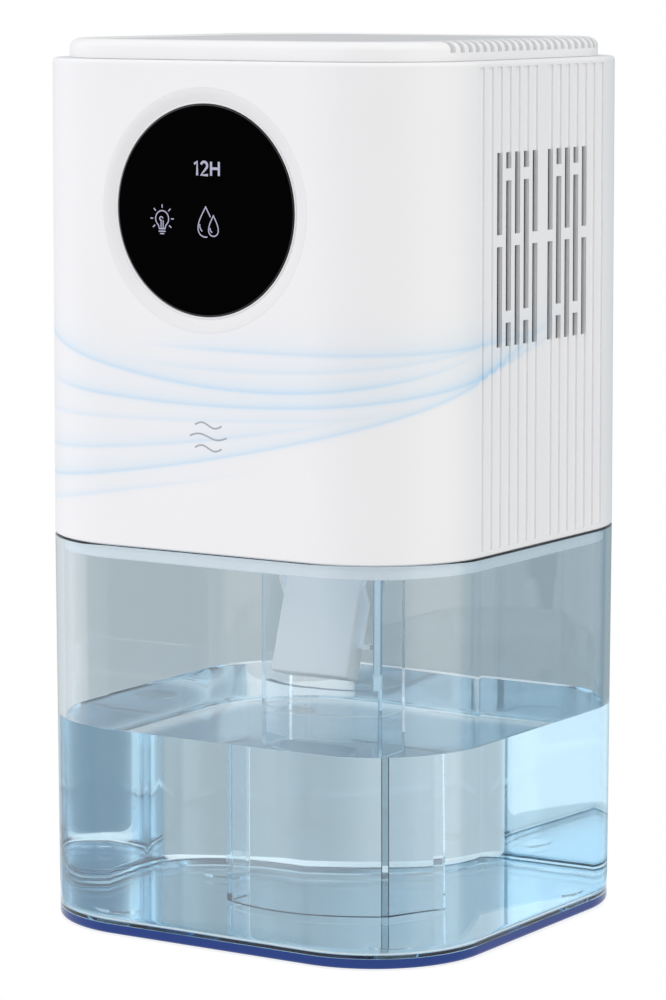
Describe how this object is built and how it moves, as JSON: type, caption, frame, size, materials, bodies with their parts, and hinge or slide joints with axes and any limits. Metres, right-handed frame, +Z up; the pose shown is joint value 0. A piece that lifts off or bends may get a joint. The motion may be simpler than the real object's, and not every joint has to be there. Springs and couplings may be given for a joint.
{
  "type": "dehumidifier",
  "caption": "Small thermoelectric dehumidifier: white rounded-square head with a round touch panel and slotted sides, on a clear blue-tinted water tank with a float.",
  "frame": {"origin": "centre of the footprint on the surface it stands on, under the water tank", "axes": "+Z up, -Y the front with the round touch panel, +X the right-hand side as seen from the front"},
  "size_m": [0.16, 0.158, 0.2959],
  "materials": {
    "housing_white": "satin",
    "pale_grey": "matte",
    "panel_black": "high gloss",
    "tank_clear": "clear, blue tinted",
    "foot_rubber": "matte",
    "screen_mesh": "woven mesh",
    "dark_plastic": "matte",
    "circuit_board": "solder mask",
    "aluminium": "milled",
    "steel": "zinc plated",
    "ceramic": "fired ceramic",
    "foam": "closed-cell foam",
    "wire_black": "matte"
  },
  "bodies": {
    "tank": {"water_tank": "tank_clear", "foot_pad_front_left": "foot_rubber", "foot_pad_front_right": "foot_rubber", "foot_pad_rear_left": "foot_rubber", "foot_pad_rear_right": "foot_rubber"},
    "head": {"tank_light_lens": "tank_clear", "housing": "housing_white", "top_cover": "housing_white", "base_plate": "housing_white", "float_bracket": "housing_white", "top_insert": "pale_grey", "panel_ring": "pale_grey", "drip_tray": "pale_grey", "touch_panel": "panel_black", "touch_board": "circuit_board", "main_board": "circuit_board", "dust_screen_left": "screen_mesh", "dust_screen_right": "screen_mesh", "cold_sink": "aluminium", "heat_sink": "aluminium", "peltier_module": "ceramic", "tank_light_board": "ceramic", "insulation_frame": "foam", "core_bracket": "steel", "float_pin": "steel", "fan_plate": "dark_plastic", "fan_frame": "dark_plastic", "power_inlet": "dark_plastic", "reed_switch": "dark_plastic", "fan_cable": "wire_black", "panel_cable": "wire_black", "float_cable": "wire_black", "base_screw_1": "steel", "base_screw_2": "steel", "base_screw_3": "steel", "base_screw_4": "steel", "plate_screw_1": "steel", "plate_screw_2": "steel", "plate_screw_3": "steel", "plate_screw_4": "steel", "fan_screw_1": "steel", "fan_screw_2": "steel", "fan_screw_3": "steel", "fan_screw_4": "steel", "board_screw_1": "steel", "board_screw_2": "steel", "float_bracket_screw_1": "steel", "float_bracket_screw_2": "steel", "core_screw_1": "steel", "core_screw_2": "steel"},
    "fan": {"fan_rotor": "dark_plastic"},
    "float": {"float": "housing_white", "float_magnet": "steel"}
  },
  "joints": [
    {"name": "head_lift", "type": "slide", "parent": "tank", "child": "head", "axis": [0, 0, 1], "range_m": [0, 0.09]},
    {"name": "fan_spin", "type": "hinge", "parent": "head", "child": "fan", "pos_m": [0, 0, 0.2523], "axis": [0, 0, 1], "continuous": true},
    {"name": "float_swing", "type": "hinge", "parent": "head", "child": "float", "pos_m": [0, -0.0015, 0.1193], "axis": [-1, 0, 0], "range_deg": [0, 40]}
  ]
}
